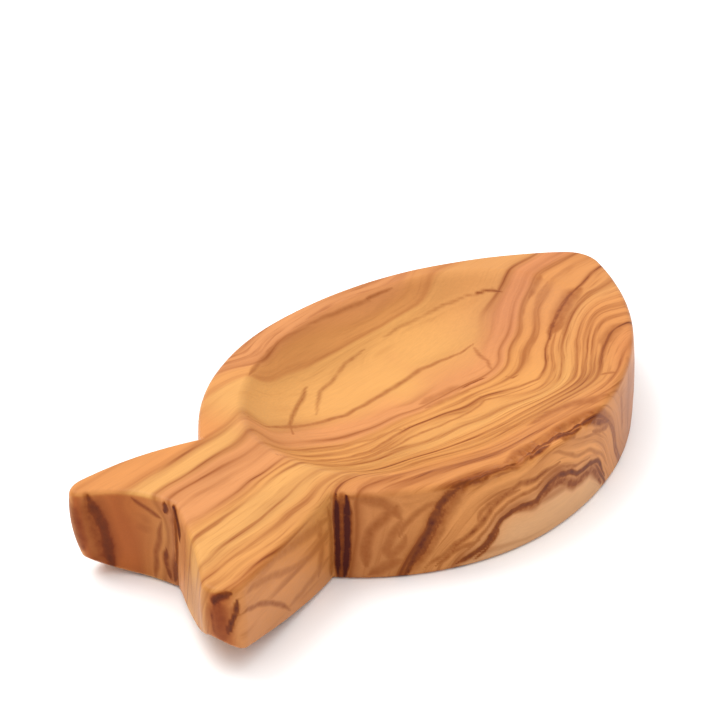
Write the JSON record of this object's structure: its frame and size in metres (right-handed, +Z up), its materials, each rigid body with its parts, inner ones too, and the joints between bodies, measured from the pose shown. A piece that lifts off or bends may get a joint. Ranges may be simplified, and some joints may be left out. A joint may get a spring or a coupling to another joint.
{
  "type": "fish-shaped wooden dish",
  "caption": "Low fish-shaped serving dish carved from one block of olive wood, with an oval hollow in the body and a forked flat tail as a handle.",
  "frame": {"origin": "on the table plane, below the middle of the outline's bounding box", "axes": "+X along the fish to its snout, +Y to the fish's left, +Z up out of the hollow"},
  "size_m": [0.1686, 0.089, 0.0229],
  "materials": {
    "olive_wood": "satin, oiled"
  },
  "bodies": {
    "root": {"fish_dish": "olive_wood"}
  },
  "joints": []
}
